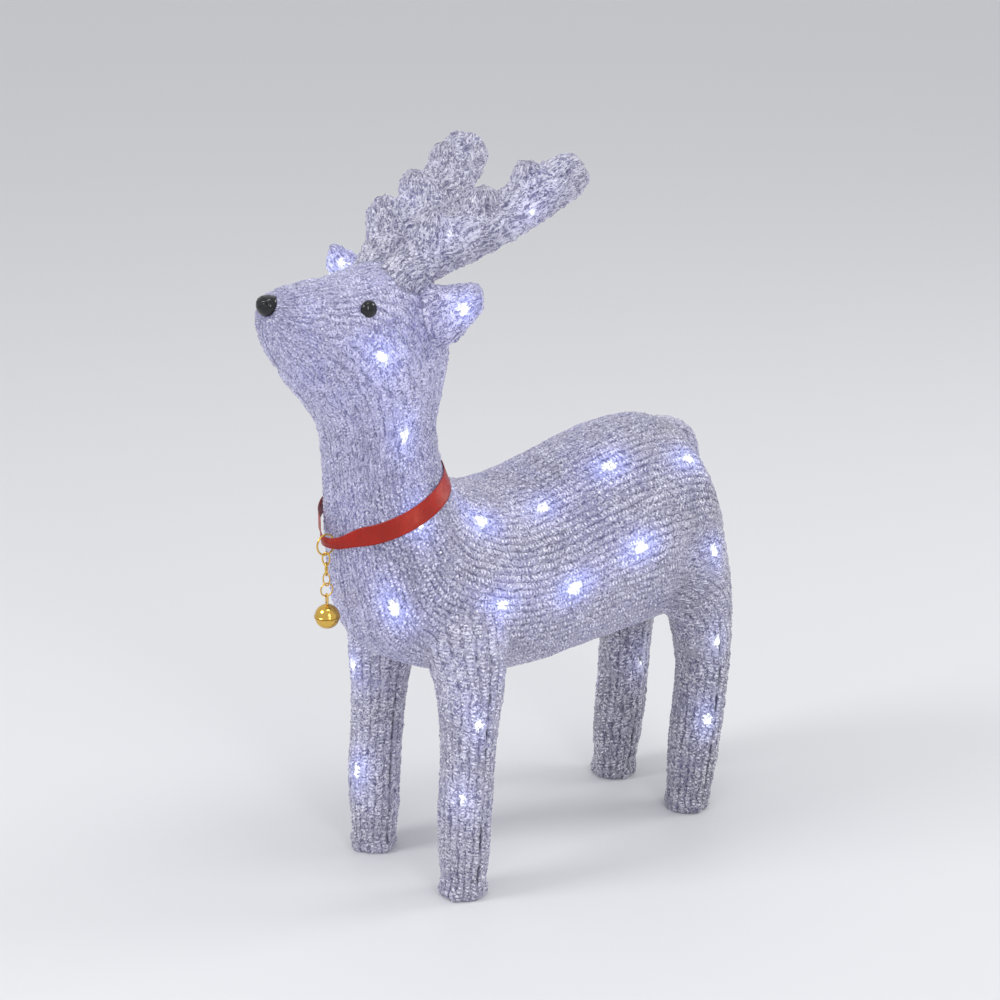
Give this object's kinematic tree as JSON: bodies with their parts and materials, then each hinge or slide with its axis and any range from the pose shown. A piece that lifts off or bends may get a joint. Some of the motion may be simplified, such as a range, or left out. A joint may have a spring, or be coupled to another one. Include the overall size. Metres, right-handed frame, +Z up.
{
  "type": "light up reindeer",
  "caption": "Standing reindeer lantern of clear acrylic strand shells with light strings inside, antlers, ears, a ribbon collar and a jingle bell on a short chain.",
  "frame": {"origin": "middle of the object's outline on the surface it stands on", "axes": "+Z up, the nose points to -Y, the animal's left side is +X"},
  "size_m": [0.1246, 0.2898, 0.3838],
  "materials": {
    "acrylic": "clear milky acrylic strands, glossy, lit from inside by cold white LEDs",
    "black_gloss": "polished black",
    "red_satin": "satin ribbon",
    "gold": "polished gold plated",
    "steel_ball": "plain",
    "led_string": "clear insulated wire with moulded LED beads",
    "grommet_rubber": "translucent bush"
  },
  "bodies": {
    "root": {"body_shell_left": "acrylic", "body_shell_right": "acrylic", "front_left_leg_front_half": "acrylic", "front_left_leg_rear_half": "acrylic", "front_right_leg_front_half": "acrylic", "front_right_leg_rear_half": "acrylic", "rear_left_leg_front_half": "acrylic", "rear_left_leg_rear_half": "acrylic", "rear_right_leg_front_half": "acrylic", "rear_right_leg_rear_half": "acrylic", "antler_left": "acrylic", "antler_right": "acrylic", "ear_left": "acrylic", "ear_right": "acrylic", "tail": "acrylic", "nose": "black_gloss", "eye_left": "black_gloss", "eye_right": "black_gloss", "ribbon_collar": "red_satin", "led_string_body": "led_string", "led_string_front_left_leg": "led_string", "led_string_front_right_leg": "led_string", "led_string_rear_left_leg": "led_string", "led_string_rear_right_leg": "led_string", "led_string_antler_left": "led_string", "led_string_antler_right": "led_string", "lead_grommet": "grommet_rubber"},
    "upper_ring": {"jump_ring_upper": "gold"},
    "link_1": {"chain_link_1": "gold"},
    "link_2": {"chain_link_2": "gold"},
    "link_3": {"chain_link_3": "gold"},
    "lower_ring": {"jump_ring_lower": "gold"},
    "bell": {"bell_loop": "gold", "bell_shell_upper": "gold", "bell_shell_lower": "gold"},
    "clapper": {"bell_clapper": "steel_ball"}
  },
  "joints": [
    {"name": "ring_swing", "type": "hinge", "parent": "root", "child": "upper_ring", "pos_m": [0, -0.1079, 0.2001], "axis": [-1, 0, 0], "range_deg": [-3, 35]},
    {"name": "link_1_swing", "type": "hinge", "parent": "upper_ring", "child": "link_1", "pos_m": [0, -0.1079, 0.1895], "axis": [0, 1, 0], "range_deg": [-40, 40]},
    {"name": "link_2_swing", "type": "hinge", "parent": "link_1", "child": "link_2", "pos_m": [0, -0.1079, 0.18405], "axis": [-0.766, -0.6428, 0], "range_deg": [-3, 30]},
    {"name": "link_3_swing", "type": "hinge", "parent": "link_2", "child": "link_3", "pos_m": [0, -0.1079, 0.17855], "axis": [-0.6691, 0.7431, 0], "range_deg": [-3, 30]},
    {"name": "lower_ring_swing", "type": "hinge", "parent": "link_3", "child": "lower_ring", "pos_m": [0, -0.1079, 0.17305], "axis": [-0.8829, -0.4695, 0], "range_deg": [-3, 30]},
    {"name": "bell_swing", "type": "hinge", "parent": "lower_ring", "child": "bell", "pos_m": [0, -0.1079, 0.16755], "axis": [0.1392, 0.9903, 0], "range_deg": [-35, 35]},
    {"name": "clapper_rattle", "type": "slide", "parent": "bell", "child": "clapper", "axis": [0, 0, 1], "range_m": [0, 0.0068]}
  ]
}
